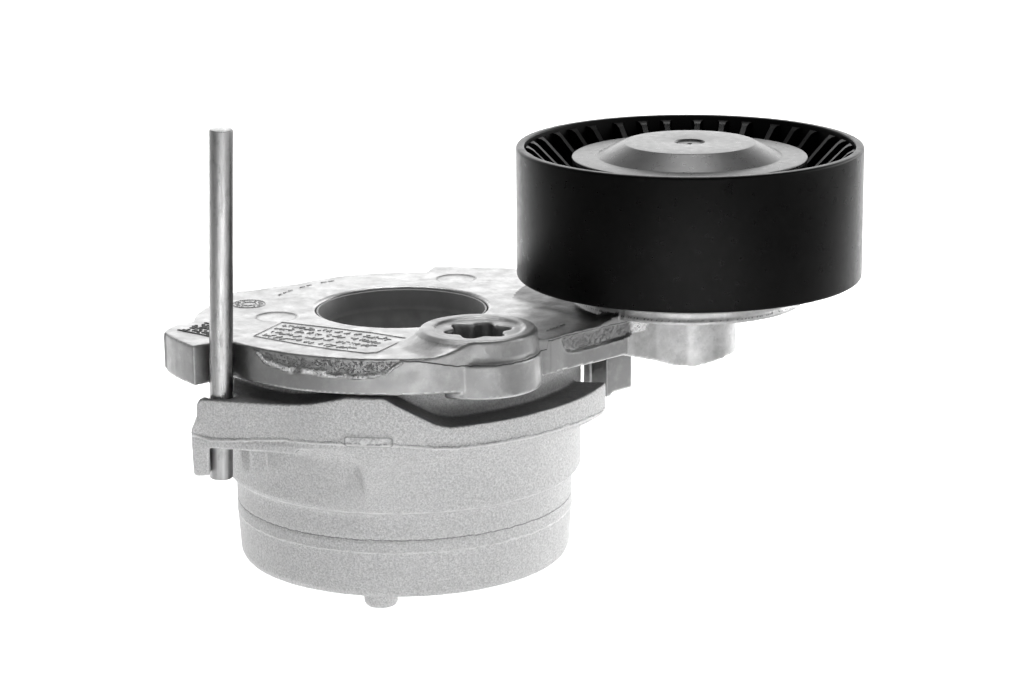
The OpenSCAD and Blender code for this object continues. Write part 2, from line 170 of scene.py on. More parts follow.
class Finish:
    """Principled material built from a few procedural layers in object coordinates."""

    def __init__(self, name, colour, roughness, metallic=0.0, **sockets):
        self.material = bpy.data.materials.new(name)
        self.material.use_nodes = True
        self.tree = self.material.node_tree
        self.shader = self.tree.nodes["Principled BSDF"]
        self.shader.inputs["Base Color"].default_value = (*colour, 1)
        self.shader.inputs["Roughness"].default_value = roughness
        self.shader.inputs["Metallic"].default_value = metallic
        for socket, value in sockets.items():
            self.shader.inputs[socket.replace("_", " ")].default_value = value
        self.place = self.add("ShaderNodeTexCoord").outputs["Object"]
        self.colour = None
        self.bump = None

    def add(self, kind, **values):
        """New node with its properties set."""
        node = self.tree.nodes.new(kind)
        for key, value in values.items():
            setattr(node, key, value)
        return node

    def link(self, source, target):
        self.tree.links.new(source, target)

    def noise(self, size, detail=3.0, rough=0.5, stretch=(1, 1, 1), seed=0.0):
        """Noise whose blobs are about size metres across."""
        turn = self.add("ShaderNodeMapping")
        turn.inputs["Scale"].default_value = stretch
        turn.inputs["Location"].default_value = (seed, seed * 0.7, -seed)
        self.link(self.place, turn.inputs["Vector"])
        node = self.add("ShaderNodeTexNoise")
        node.inputs["Scale"].default_value = 1 / size
        node.inputs["Detail"].default_value = detail
        node.inputs["Roughness"].default_value = rough
        self.link(turn.outputs["Vector"], node.inputs["Vector"])
        return node.outputs["Fac"]

    def axis(self, letter):
        """One object coordinate, in metres."""
        return self.split_of(self.place).outputs[letter]

    def split_of(self, vector):
        node = self.add("ShaderNodeSeparateXYZ")
        self.link(vector, node.inputs[0])
        return node

    def add_to(self, a, b):
        node = self.add("ShaderNodeMath", operation="ADD")
        self.link(a, node.inputs[0])
        if isinstance(b, float):
            node.inputs[1].default_value = b
        else:
            self.link(b, node.inputs[1])
        return node.outputs[0]

    def line(self, value, level, half_width, wander=None):
        """1 where value equals level, falling to 0 at half_width from it."""
        if wander is not None:
            value = self.add_to(value, wander)
        offset = self.add_to(value, -level)
        size = self.add("ShaderNodeMath", operation="ABSOLUTE")
        self.link(offset, size.inputs[0])
        return self.remap(size.outputs[0], 0.0, half_width, 1.0, 0.0)

    def attribute(self, name):
        """Value stored on the mesh's points under that name."""
        return self.add("ShaderNodeAttribute", attribute_name=name).outputs["Fac"]

    def remap(self, value, low, high, to_low=0.0, to_high=1.0):
        """Maps value from low..high to to_low..to_high, held at both ends."""
        node = self.add("ShaderNodeMapRange")
        for key, number in (("From Min", low), ("From Max", high), ("To Min", to_low),
                            ("To Max", to_high)):
            node.inputs[key].default_value = number
        self.link(value, node.inputs["Value"])
        return node.outputs["Result"]

    def multiply(self, a, b):
        node = self.add("ShaderNodeMath", operation="MULTIPLY")
        self.link(a, node.inputs[0])
        if isinstance(b, float):
            node.inputs[1].default_value = b
        else:
            self.link(b, node.inputs[1])
        return node.outputs[0]

    def tint(self, fac, colour):
        """Mixes colour over what is there, by fac."""
        node = self.add("ShaderNodeMix", data_type="RGBA")
        self.link(fac, node.inputs["Factor"])
        if self.colour is None:
            node.inputs["A"].default_value = self.shader.inputs["Base Color"].default_value
        else:
            self.link(self.colour, node.inputs["A"])
        node.inputs["B"].default_value = (*colour, 1)
        self.colour = node.outputs["Result"]
        self.link(self.colour, self.shader.inputs["Base Color"])

    def roughen(self, value, low, high):
        """Roughness that runs from low to high with a noise value."""
        self.link(self.remap(value, 0.3, 0.7, low, high), self.shader.inputs["Roughness"])

    def emboss(self, height, depth):
        """Adds a bump of that depth in metres."""
        node = self.add("ShaderNodeBump")
        node.inputs["Strength"].default_value = 1.0
        node.inputs["Distance"].default_value = depth
        self.link(height, node.inputs["Height"])
        if self.bump is not None:
            self.link(self.bump, node.inputs["Normal"])
        self.bump = node.outputs["Normal"]
        self.link(self.bump, self.shader.inputs["Normal"])


def grey(value):
    """The same value for red, green and blue."""
    return (value, value, value)


def blasted_casting():
    """Fine-grained blasted aluminium, with bright irregular parting lines."""
    f = Finish("blasted_casting", grey(0.50), 0.55, metallic=0.3)
    grain = f.noise(0.36 * MM, 3.0, 0.75)
    f.tint(f.remap(grain, 0.36, 0.66), grey(0.86))
    f.tint(f.remap(f.noise(7 * MM, 3.0, 0.5), 0.5, 0.75, 0.0, 0.3), grey(0.58))
    f.tint(f.remap(f.attribute("edge"), 0.4, 1.0, 0.0, 0.3), grey(0.92))
    # parting lines around the cup and along the flange
    height = f.axis("Z")
    wander = f.remap(f.noise(1.5 * MM, 3.0, 0.6, seed=11.0), 0.3, 0.7, -0.22 * MM, 0.22 * MM)
    patchy = f.remap(f.noise(2.2 * MM, 3.0, 0.6, seed=12.0), 0.34, 0.56, 0.35, 1.0)
    wall = f.attribute("cup_wall")
    for level in CUP_SEAMS:
        seam = f.multiply(f.multiply(f.line(height, level * MM, 0.30 * MM, wander), wall), patchy)
        f.tint(f.multiply(seam, 0.95), grey(0.99))
        f.emboss(seam, 0.12 * MM)
    groove = f.multiply(f.line(height, CUP_GROOVE * MM, 0.17 * MM, f.multiply(wander, 0.6)), wall)
    f.tint(f.multiply(groove, 0.9), grey(0.10))
    seam_height = f.attribute("flange_seam")
    edge = f.line(seam_height, 0.0, 0.30 * MM, f.multiply(wander, 0.5))
    f.tint(f.multiply(edge, 0.95), grey(0.99))
    shade = f.line(seam_height, 0.42 * MM, 0.16 * MM, f.multiply(wander, 0.8))
    f.tint(f.multiply(f.multiply(shade, patchy), 0.8), grey(0.16))
    f.emboss(edge, 0.10 * MM)
    # painted shadow on the ledge under the arm and up the wall behind it
    f.tint(f.multiply(f.attribute("gap_painted_shadow"), 0.85), grey(0.05))
    rough = f.attribute("rough_pad")
    flakes = f.remap(f.noise(0.7 * MM, 3.0, 0.7, seed=14.0), 0.42, 0.6)
    f.tint(f.multiply(f.multiply(rough, flakes), 0.8), grey(0.95))
    f.tint(f.multiply(f.line(rough, 0.35, 0.22), 0.7), grey(0.16))
    f.roughen(f.noise(0.8 * MM, 2.0, 0.6, seed=3.0), 0.46, 0.62)
    f.emboss(grain, 0.11 * MM)
    f.emboss(f.noise(1.6 * MM, 2.0, 0.5, seed=7.0), 0.10 * MM)
    return f.material


def arm_casting():
    """Smooth die-cast aluminium with a mottled skin and torn patches."""
    f = Finish("arm_casting", grey(0.46), 0.36, metallic=0.9)
    f.tint(f.remap(f.noise(4 * MM, 5.0, 0.66), 0.42, 0.66), grey(0.62))
    f.tint(f.remap(f.noise(1.1 * MM, 3.0, 0.65, seed=5.0), 0.52, 0.76, 0.0, 0.55), grey(0.33))
    # painted shade: upright faces turned to the front and the top of the boss are darker
    f.tint(f.multiply(f.attribute("upright"), 0.85), grey(0.28))
    f.tint(f.multiply(f.attribute("boss_top_painted_shade"), 0.9), grey(0.31))
    f.tint(f.remap(f.noise(2.6 * MM, 5.0, 0.7, seed=21.0), 0.50, 0.72, 0.0, 0.3), grey(0.55))
    f.tint(f.remap(f.attribute("edge"), 0.5, 1.0, 0.0, 0.2), grey(0.85))
    # rough floor of the neck's recess and of the gate patch, speckled
    pitted = f.attribute("pitted")
    specks = f.remap(f.noise(0.5 * MM, 3.0, 0.7, seed=15.0), 0.52, 0.64)
    f.tint(f.multiply(pitted, f.remap(specks, 0.0, 1.0, 0.15, 0.75)), grey(0.24))
    # torn metal, bright flakes with dark pits
    torn = f.attribute("torn")
    flakes = f.remap(f.noise(0.9 * MM, 4.0, 0.75, seed=9.0), 0.42, 0.50)
    f.tint(f.multiply(torn, f.remap(flakes, 0.0, 1.0, 0.5, 1.0)), grey(1.0))
    pits = f.remap(f.noise(0.6 * MM, 3.0, 0.7, seed=10.0), 0.60, 0.66)
    f.tint(f.multiply(torn, pits), grey(0.10))
    # painted highlight on the lower edges, dark rings of the ejector marks, painted shadow below the
    # pulley
    f.tint(f.multiply(f.attribute("low_edge_painted_highlight"), 0.9), grey(0.99))
    f.tint(f.multiply(f.attribute("mark_ring"), 0.9), grey(0.05))
    f.tint(f.multiply(f.attribute("shade"), 0.88), grey(0.03))
    # thin dark parting line around the boss and along the neck
    wander = f.remap(f.noise(2.0 * MM, 2.0, 0.5, seed=16.0), 0.3, 0.7, -0.12 * MM, 0.12 * MM)
    seam = f.multiply(f.line(f.attribute("arm_seam"), 0.0, 0.17 * MM, wander), f.attribute("seam_on"))
    f.tint(f.multiply(seam, 0.9), grey(0.05))
    f.roughen(f.noise(3 * MM, 4.0, 0.6, seed=2.0), 0.30, 0.46)
    f.emboss(seam, -0.08 * MM)
    f.emboss(f.multiply(torn, f.noise(0.8 * MM, 4.0, 0.75, seed=9.0)), 0.5 * MM)
    f.emboss(f.multiply(pitted, specks), 0.25 * MM)
    f.emboss(f.noise(2.5 * MM, 3.0, 0.55, seed=4.0), 0.06 * MM)
    f.emboss(f.noise(0.35 * MM, 2.0, 0.6, seed=1.0), 0.014 * MM)
    return f.material


def etched_marks(name, value):
    """Darker, slightly rough metal of cast and etched marks."""
    f = Finish(name, grey(value), 0.5, metallic=0.7)
    f.tint(f.remap(f.noise(0.5 * MM, 3.0, 0.6), 0.4, 0.6), grey(value * 1.6))
    f.roughen(f.noise(0.4 * MM, 3.0, 0.6, seed=2.0), 0.42, 0.6)
    return f.material


def pulley_plastic():
    """Black moulded plastic with a faint skin."""
    f = Finish("pulley_plastic", grey(0.0015), 0.30, Specular_IOR_Level=0.11)
    f.roughen(f.noise(2 * MM, 4.0, 0.6), 0.26, 0.36)
    f.tint(f.remap(f.noise(6 * MM, 3.0, 0.5), 0.45, 0.7, 0.0, 0.6), grey(0.003))
    f.emboss(f.noise(1.2 * MM, 3.0, 0.5, stretch=(1, 1, 0.3)), 0.006 * MM)
    return f.material


def cap_plastic():
    """Satin grey plastic that mirrors the backdrop at low angles."""
    f = Finish("cap_plastic", grey(0.03), 0.22, metallic=0.2, Specular_IOR_Level=1.0)
    f.tint(f.remap(f.noise(3 * MM, 4.0, 0.6), 0.4, 0.7, 0.0, 0.7), grey(0.05))
    f.roughen(f.noise(1.5 * MM, 3.0, 0.6, seed=3.0), 0.26, 0.34)
    f.emboss(f.noise(0.25 * MM, 2.0, 0.6), 0.008 * MM)
    return f.material


def pin_steel():
    """Drawn steel wire with lengthwise streaks and light stains, and painted reflections: dark at its
    right side and left edge, a bright line beside its axis.
    """
    f = Finish("pin_steel", grey(0.50), 0.34, metallic=1.0)
    streaks = f.noise(0.5 * MM, 4.0, 0.6, stretch=(1, 1, 0.03))
    f.tint(f.remap(streaks, 0.35, 0.7), grey(0.40))
    stains = f.noise(1.3 * MM, 5.0, 0.75, stretch=(1, 1, 0.4), seed=6.0)
    f.tint(f.remap(stains, 0.52, 0.72, 0.0, 0.7), grey(0.20))
    # across the pin: 0 on its axis, 1 at its right side
    across = f.attribute("across")
    wander = f.remap(f.noise(6 * MM, 3.0, 0.6, stretch=(1, 1, 0.5), seed=8.0), 0.3, 0.7, -0.06, 0.06)
    # painted reflection: a dark strip towards the right side, darkest at its edge
    dark = f.remap(f.add_to(across, wander), 0.62, 0.76)
    f.tint(f.multiply(dark, 0.52), grey(0.04))
    f.tint(f.multiply(f.remap(across, 0.93, 0.99), 0.8), grey(0.03))
    # painted highlight: a bright line beside the axis
    bright = f.line(across, 0.36, 0.22, wander)
    f.tint(f.multiply(bright, 0.35), grey(0.85))
    # painted reflection: a darker left edge
    f.tint(f.multiply(f.remap(across, -0.86, -0.97), 0.5), grey(0.12))
    f.roughen(streaks, 0.24, 0.42)
    f.emboss(streaks, 0.01 * MM)
    return f.material


def metal(name, value, roughness, grain=1.2 * MM, stretch=(1, 1, 1)):
    """Plain machined or pressed metal with a fine grain."""
    f = Finish(name, grey(value), roughness, metallic=1.0)
    marks = f.noise(grain, 4.0, 0.6, stretch=stretch)
    f.tint(f.remap(marks, 0.4, 0.7), grey(value * 0.8))
    f.roughen(marks, roughness * 0.85, roughness * 1.2)
    f.emboss(marks, 0.008 * MM)
    return f.material


def polymer(name, colour, roughness):
    """Plain moulded polymer with a slightly uneven skin."""
    f = Finish(name, colour, roughness)
    f.tint(f.remap(f.noise(4 * MM, 4.0, 0.6), 0.4, 0.7), tuple(c * 0.85 for c in colour))
    f.roughen(f.noise(1 * MM, 3.0, 0.6, seed=2.0), roughness * 0.9, roughness * 1.15)
    f.emboss(f.noise(0.5 * MM, 2.0, 0.5), 0.01 * MM)
    return f.material


# ---- mesh helpers ----

def linked(name, mesh, material):
    """Object of a finished mesh with its one material."""
    made = bpy.data.objects.new(name, mesh)
    SCENE.collection.objects.link(made)
    mesh.materials.clear()
    mesh.materials.append(material)
    return made


def piece(name, mesh, material, body, stands_for=()):
    """Links a finished mesh as a piece that rides on a body."""
    made = linked(name, mesh, material)
    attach(made, body)
    if stands_for:
        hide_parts(*stands_for)
    return made


def rounded(points, radius, steps=4):
    """Closed profile with each corner turned into a small arc. A point may carry its own radius."""
    out = []
    count = len(points)
    for i, point in enumerate(points):
        r = point[2] if len(point) > 2 else radius
        here = Vector(point[:2])
        before = Vector(points[i - 1][:2]) - here
        after = Vector(points[(i + 1) % count][:2]) - here
        angle = before.angle(after)
        if r <= 0 or angle > math.radians(176):
            out.append(tuple(here))
            continue
        reach = min(r / math.tan(angle / 2), before.length * 0.45, after.length * 0.45)
        start = here + before.normalized() * reach
        end = here + after.normalized() * reach
        for k in range(steps + 1):
            t = k / steps
            out.append(tuple(start * (1 - t) ** 2 + here * 2 * t * (1 - t) + end * t ** 2))
    return out


def lathe(profile, centre=(0, 0), turns=160):
    """Bmesh turned from a closed profile of (radius, z) points in millimetres; centre in metres."""
    bm = bmesh.new()
    rings = []
    for r, z in profile:
        if r < 1e-6:
            rings.append([bm.verts.new((0, 0, z * MM))] * turns)
            continue
        rings.append([bm.verts.new((r * MM * math.cos(2 * math.pi * k / turns),
                                    r * MM * math.sin(2 * math.pi * k / turns), z * MM))
                      for k in range(turns)])
    for i in range(len(rings)):
        low, high = rings[i], rings[(i + 1) % len(rings)]
        for k in range(turns):
            n = (k + 1) % turns
            corners = []
            for v in (low[k], low[n], high[n], high[k]):
                if v not in corners:
                    corners.append(v)
            if len(corners) > 2:
                bm.faces.new(corners)
    bmesh.ops.translate(bm, verts=bm.verts, vec=(centre[0], centre[1], 0))
    bmesh.ops.recalc_face_normals(bm, faces=bm.faces)
    return bm


def to_mesh(bm, name, sharp=math.radians(50)):
    """Mesh of a bmesh, smooth but for its sharp edges."""
    for face in bm.faces:
        face.smooth = True
    for edge in bm.edges:
        if len(edge.link_faces) == 2 and edge.calc_face_angle(0) > sharp:
            edge.smooth = False
    mesh = bpy.data.meshes.new(name)
    bm.to_mesh(mesh)
    bm.free()
    return mesh


def applied(obj):
    """Mesh of an object with its modifiers applied; the object goes."""
    depsgraph = bpy.context.evaluated_depsgraph_get()
    mesh = bpy.data.meshes.new_from_object(obj.evaluated_get(depsgraph))
    bpy.data.objects.remove(obj)
    return mesh


def remeshed(node, voxel, smooth_rounds):
    """Fine, softened copy of a CAD node's mesh."""
    copy = bpy.data.objects.new("work", NODES[node].data.copy())
    SCENE.collection.objects.link(copy)
    remesh = copy.modifiers.new("remesh", "REMESH")
    remesh.mode = "VOXEL"
    remesh.voxel_size = voxel
    soften = copy.modifiers.new("soften", "SMOOTH")
    soften.factor = 0.5
    soften.iterations = smooth_rounds
    mesh = applied(copy)
    mesh.polygons.foreach_set("use_smooth", [True] * len(mesh.polygons))
    return mesh


def points_of(mesh):
    co = np.zeros(len(mesh.vertices) * 3)
    mesh.vertices.foreach_get("co", co)
    return co.reshape(-1, 3)


def normals_of(mesh):
    no = np.zeros(len(mesh.vertices) * 3)
    mesh.vertex_normals.foreach_get("vector", no)
    return no.reshape(-1, 3)


def set_points(mesh, co):
    mesh.vertices.foreach_set("co", co.ravel())
    mesh.update()


def neighbour_mean(mesh, values, rounds):
    """Values averaged over each vertex's neighbours, some rounds over."""
    edges = np.zeros(len(mesh.edges) * 2, int)
    mesh.edges.foreach_get("vertices", edges)
    a, b = edges.reshape(-1, 2).T
    shape = (-1,) + (1,) * (values.ndim - 1)
    count = np.zeros(len(values))
    np.add.at(count, a, 1)
    np.add.at(count, b, 1)
    for _ in range(rounds):
        total = np.zeros_like(values)
        np.add.at(total, a, values[b])
        np.add.at(total, b, values[a])
        values = total / np.maximum(count, 1).reshape(shape)
    return values


def mark_edges(mesh, reach, scale):
    """Stores how convex the surface is around each vertex, from 0 to 1, as attribute edge."""
    co, no = points_of(mesh), normals_of(mesh)
    lift = ((co - neighbour_mean(mesh, co, reach)) * no).sum(1)
    store(mesh, "edge", np.clip(lift / scale, 0, 1))


def store(mesh, name, values):
    """Keeps one value per point on the mesh, for the materials."""
    layer = mesh.attributes.get(name) or mesh.attributes.new(name, "FLOAT", "POINT")
    layer.data.foreach_set("value", values.astype(np.float32))


# ---- castings ----

def noise_at(co, size, seed):
    """Smooth noise from about -1 to 1 at each point; co and size in millimetres."""
    shift = Vector((seed, -seed, seed * 0.5))
    return np.array([noise.noise(Vector(p) / size + shift) for p in co])


def bump_at(value, level, width):
    """Bell curve that is 1 where value equals level."""
    return np.exp(-((value - level) / width) ** 2)


def relax(mesh, weight, rounds):
    """Softens the mesh where weight is above 0."""
    co = points_of(mesh)
    share = weight[:, None]
    for _ in range(rounds):
        co = co * (1 - share) + neighbour_mean(mesh, co, 1) * share
    set_points(mesh, co)


def soft_step(value, low, high):
    """0 below low and 1 above high, with a smooth rise between."""
    t = np.clip((value - low) / (high - low), 0, 1)
    return t * t * (3 - 2 * t)


def around(co):
    """Distance from the pivot axis and angle about it, in degrees from 0 to 360."""
    return np.hypot(co[:, 0], co[:, 1]), np.degrees(np.arctan2(co[:, 1], co[:, 0])) % 360


def soften_web(mesh):
    """Blends the web under the tower and the fillet beside it softly into the cup."""
    co = points_of(mesh) / MM
    r, angle = around(co)
    blend = soft_step(angle, 246, 252) * (1 - soft_step(angle, 276, 282)) * (r > 35.5)
    blend = blend * soft_step(co[:, 2], 17.5, 20) * (1 - soft_step(co[:, 2], 31.5, 33))
    relax(mesh, blend, 60)


def base_casting():
    """The cup: seams around it, a parting line along its flange and a rough pad on the front."""
    voxel = 0.36 * MM
    mesh = remeshed("base_housing", voxel, 2)
    soften_web(mesh)
    mark_edges(mesh, 3, 0.10 * MM)
    co, no = points_of(mesh) / MM, normals_of(mesh)
    z = co[:, 2]
    r, angle = around(co)
    outward = (no[:, 0] * co[:, 0] + no[:, 1] * co[:, 1]) / np.maximum(r, 1)
    wall = soft_step(outward, 0.3, 0.7) * (r > 31) * (r < 36.9)
    # height of the flange's parting line, angle by angle
    line = np.interp(angle, (219, 223, 236, 256, 270, 279, 285, 318, 341),
                     (33.8, 32.7, 33.6, 34.1, 34.05, 33.4, 33.0, 33.3, 32.8))
    front = (r > 38) & (angle > 205) & (angle < 343)
    pad = soft_step(angle, 256.2, 258.2) * (1 - soft_step(angle, 268, 270)) * front
    pad = pad * soft_step(z, 33.7, 34.3) * (1 - soft_step(z, 35.3, 36.0))
    wavy = noise_at(co, 2.6, 3.1)
    seams = bump_at(z, CUP_SEAMS[0], 0.4) + bump_at(z, CUP_SEAMS[1], 0.4)
    lift = 0.07 * (0.6 + wavy) * seams * wall
    lift -= 0.12 * bump_at(z, CUP_GROOVE, 0.3) * wall
    lift += 0.10 * (0.8 + 0.5 * wavy) * bump_at(z, line, 0.35) * front * (outward > 0.4)
    lift += 0.16 * pad * noise_at(co, 0.9, 8.2)
    lift += 0.03 * noise_at(co, 1.3, 1.7) + 0.06 * noise_at(co, 7, 5.5) * wall
    set_points(mesh, (co + no * lift[:, None]) * MM)
    store(mesh, "cup_wall", wall)
    store(mesh, "flange_seam", np.where(front, z - line, 20) * MM)
    store(mesh, "rough_pad", pad)
    # painted shadow on the ledge under the arm, fading up the wall behind it
    ledge = soft_step(no[:, 2], 0.5, 0.85)
    above = 0.9 * (1 - soft_step(z, LEDGE_Z, 45.0)) * (1 - ledge)
    store(mesh, "gap_painted_shadow", (ledge + above * (r < 37.4)) * (z > LEDGE_Z) * (r > 30))
    return piece("base_casting", mesh, blasted_casting(), "base",
                 ("base_housing",))


def neck_place(x, y):
    """How far along the neck's front wall a point is, and how deep behind it."""
    from_x, from_y = x - NECK_FOOT[0], y - NECK_FOOT[1]
    along = from_x * NECK_ALONG[0] + from_y * NECK_ALONG[1]
    depth = -from_x * NECK_ALONG[1] + from_y * NECK_ALONG[0]
    return along, depth


def rough_patches(co, upright):
    """Weights of torn and of pitted metal, and how far the gate patch is sunk."""
    x, y, z = co.T
    r, angle = around(co)
    # gate patch on the front rim, with a torn, jagged lower edge
    jag = noise_at(co, 1.8, 4.4)
    low = np.interp(angle, (229.5, 233, 240, 262, 268, 272.5), (50.2, 48.2, 47.0, 46.9, 47.7, 50.2))
    low = low + 0.3 * jag
    patch = (angle > 229.5) & (angle < 272.5) & (z < 50.3) & (r > 40) & (r < 43)
    gate = patch * upright * soft_step(z, low, low + 0.3)
    reach = np.where(angle < 252, 1.0, 0.45)
    gate_edge = gate * (1 - soft_step(z, low + reach, low + reach + 0.6))
    gate_edge = gate_edge * soft_step(noise_at(co, 2.6, 6.1), -0.45, 0.0)
    # floor of the neck's recess, and the torn patch at its right end
    along, depth = neck_place(x, y)
    neck = (along > -1.9) & (along < 17.6) & (z > 46.9) & (z < 50.5)
    floor = neck * soft_step(depth, 0.15, 0.45) * (depth < 1.2) * upright
    flash = soft_step(along, 17.4, 17.9) * (1 - soft_step(along + 0.7 * jag, 21, 22))
    flash = flash * (z > 47.8) * (z < 51.6) * upright * (depth < 1.5) * (depth > -3)
    torn = np.clip(gate_edge + flash, 0, 1)
    pitted = np.clip(gate - gate_edge + floor, 0, 1)
    return torn, pitted, gate - gate_edge


def parting_line(co, upright):
    """Height above the arm's parting line, and where the line shows: rim, boss and neck."""
    x, y, z = co.T
    r = around(co)[0]
    along, depth = neck_place(x, y)
    boss = np.hypot(x - BOSS_AT[0], y - BOSS_AT[1])
    on_rim = (x > 1) & (x < 13) & (r > 41) & (y < -37)
    on_boss = (boss > 11.2) & (boss < 13.4) & (y < -26)
    on_neck = (along > -6) & (depth < 0.6) & (x < 47)
    level = np.where(x < 14, np.interp(x, (1, 5, 8.4, 12), (50.7, 50.3, 49.7, 49.0)),
                     np.where(boss < 13.4, 48.95, 50.55))
    return z - level, (on_rim | on_boss | on_neck) * upright


def painted_pulley_shadow(co, facing_up):
    """Painted shadow where the pulley keeps light off the arm's top."""
    x, y, z = co.T
    border = np.interp(x, (20, 24.1, 28, 34.2, 39.4, 46), (14, 3.6, -2.7, -10.5, -15.1, -19))
    below = np.hypot(x - PULLEY_X / MM, y - PULLEY_Y / MM) < 36
    return soft_step(y - border, -3.5, 3) * below * (facing_up > 0.4) * (z < 52.6)


def arm_cast_body():
    """The arm: a mottled plate with ejector marks, torn patches and a thin parting line."""
    voxel = 0.34 * MM
    mesh = remeshed("tensioner_arm", voxel, 2)
    mark_edges(mesh, 3, 0.10 * MM)
    co, no = points_of(mesh) / MM, normals_of(mesh)
    x, y, z = co.T
    r = around(co)[0]
    upright = 1 - soft_step(abs(no[:, 2]), 0.5, 0.8)
    top = soft_step(no[:, 2], 0.7, 0.95) * (z > 50.6) * (z < 51.4)
    torn, pitted, sunk = rough_patches(co, upright)
    # shallow round ejector marks on the top, each in a thin dark ring
    lift = 0.03 * noise_at(co, 5, 2.5) + 0.015 * noise_at(co, 1.6, 6.5)
    ring = np.zeros(len(co))
    for mark in EJECTOR_MARKS:
        away = np.hypot(x - mark[0], y - mark[1])
        lift -= 0.20 * (1 - soft_step(away, 3.6, 4.1)) * top
        ring += bump_at(away, 4.05, 0.22) * top
    lift += torn * (0.25 * noise_at(co, 1.0, 7.7) + 0.05)
    lift += 0.12 * pitted * noise_at(co, 0.8, 9.9) - 0.12 * sunk
    # a small cast drop beside the seat under the pulley
    drop = np.sqrt((x - 51.6) ** 2 + (y + 8.0) ** 2 + (z - 52.3) ** 2)
    lift += 0.7 * bump_at(drop, 0, 0.9)
    set_points(mesh, (co + no * lift[:, None]) * MM)
    above_seam, seam_on = parting_line(co, upright)
    # painted highlight: the arm's lower edges, rounding towards the floor, are stored bright
    lower_edge = soft_step(-no[:, 2], 0.12, 0.35) * (1 - soft_step(-no[:, 2], 0.75, 0.95))
    front = soft_step(-no[:, 1], 0.1, 0.6)
    boss = np.hypot(x - BOSS_AT[0], y - BOSS_AT[1])
    # painted shade: the front-facing upright faces and the top of the boss
    store(mesh, "upright", upright * front * ((r < 47) | (x < 0)))
    store(mesh, "boss_top_painted_shade", (z > 52.4) * (boss < 12.2) * 1.0)
    store(mesh, "torn", torn)
    store(mesh, "pitted", pitted)
    store(mesh, "mark_ring", np.clip(ring, 0, 1))
    store(mesh, "shade", painted_pulley_shadow(co, no[:, 2]))
    store(mesh, "low_edge_painted_highlight", lower_edge * (z < 48) * (r > 36))
    store(mesh, "arm_seam", above_seam * MM)
    store(mesh, "seam_on", seam_on)
    return piece("arm_body", mesh, arm_casting(), "arm", ("tensioner_arm",))


def add_bar(bm, at, angle, length, width, height=0.14):
    """Small raised bar with sloping sides on the arm's top. Millimetres and degrees."""
    turn = Matrix.Rotation(math.radians(angle), 3, "Z")
    corners = []
    for inset, level in ((0, -0.15), (min(0.06, width / 4), height)):
        for sx, sy in ((-1, -1), (1, -1), (1, 1), (-1, 1)):
            flat = turn @ Vector((sx * (length / 2 - inset), sy * (width / 2 - inset), 0))
            corners.append(bm.verts.new((Vector((at[0], at[1], ARM_TOP + level)) + flat) * MM))
    low, high = corners[:4], corners[4:]
    bm.faces.new(list(reversed(low)))
    bm.faces.new(high)
    for k in range(4):
        n = (k + 1) % 4
        bm.faces.new((low[k], low[n], high[n], high[k]))


def add_ring(bm, at, radius, width, parts=40):
    """Ring of short joined bars."""
    step = 2 * math.pi * radius / parts
    for k in range(parts):
        a = 360 * k / parts
        spot = (at[0] + radius * math.cos(math.radians(a)), at[1] + radius * math.sin(math.radians(a)))
        add_bar(bm, spot, a + 90, step * 1.15, width)


def add_line(bm, points, width):
    """Joined bars through the points."""
    for start, end in zip(points, points[1:]):
        step = Vector(end) - Vector(start)
        middle = (Vector(start) + Vector(end)) / 2
        add_bar(bm, middle, math.degrees(math.atan2(step.y, step.x)), step.length + width / 2, width)


def panel_marks():
    """Generic raised marks on the arm's top: a framed panel of strokes, a date ring and dashes."""
    chance = random.Random(11)
    bm = bmesh.new()
    lower = [(-28, -23.7), (-18.7, -30.5), (-12.5, -34.4), (-5.6, -37.7)]
    upper = [(-23.3, -12.7), (-13.5, -17.5), (-5.0, -21.9), (1.9, -26.6)]
    add_line(bm, lower + [(-3.4, -37.3)] + upper[::-1] + lower[:1], 0.2)

    def spot(share, rise):
        """Point in the panel: share runs along it and rise runs up from its lower side."""
        ends = [Vector([float(np.interp(share, (0, 0.4, 0.65, 1), [p[k] for p in side]))
                        for k in (0, 1)]) for side in (lower, upper)]
        return ends[0] * (1 - rise) + ends[1] * rise

    for rise, last in ((0.82, 0.93), (0.60, 0.88), (0.38, 0.90), (0.16, 0.80)):
        share = 0.06
        while share < last:
            middle = spot(share, rise)
            for _ in range(3):
                shift = Vector((chance.uniform(-0.6, 0.6), chance.uniform(-0.6, 0.6)))
                add_bar(bm, middle + shift, -30 + chance.choice((0, 45, 60, 90, 120)),
                        chance.uniform(0.8, 1.7), 0.2)
            share += chance.uniform(0.045, 0.07)
    add_ring(bm, DATE_RING, 3.3, 0.3)
    add_ring(bm, DATE_RING, 1.5, 0.24, 24)
    for k in range(12):
        a = math.radians(30 * k)
        spoke = (DATE_RING[0] + 2.4 * math.cos(a), DATE_RING[1] + 2.4 * math.sin(a))
        add_bar(bm, spoke, 30 * k, 0.9, 0.26)
    # dashes along the back edge
    for k in (0, 1, 2, 4, 5, 7, 8):
        a = math.radians(156 - 4 * k)
        add_bar(bm, (27.8 * math.cos(a), 27.8 * math.sin(a)), 66 - 4 * k, 1.4, 0.36)
    # strokes beside the wrench boss
    for k in range(4):
        add_bar(bm, (29.3 + k * 1.0, -20.8 + k * 1.3), 75 - 25 * (k % 2), 1.5, 0.3)
    return piece("arm_panel_marks", to_mesh(bm, "arm_panel_marks"),
                 etched_marks("etched_marks", 0.33), "arm")


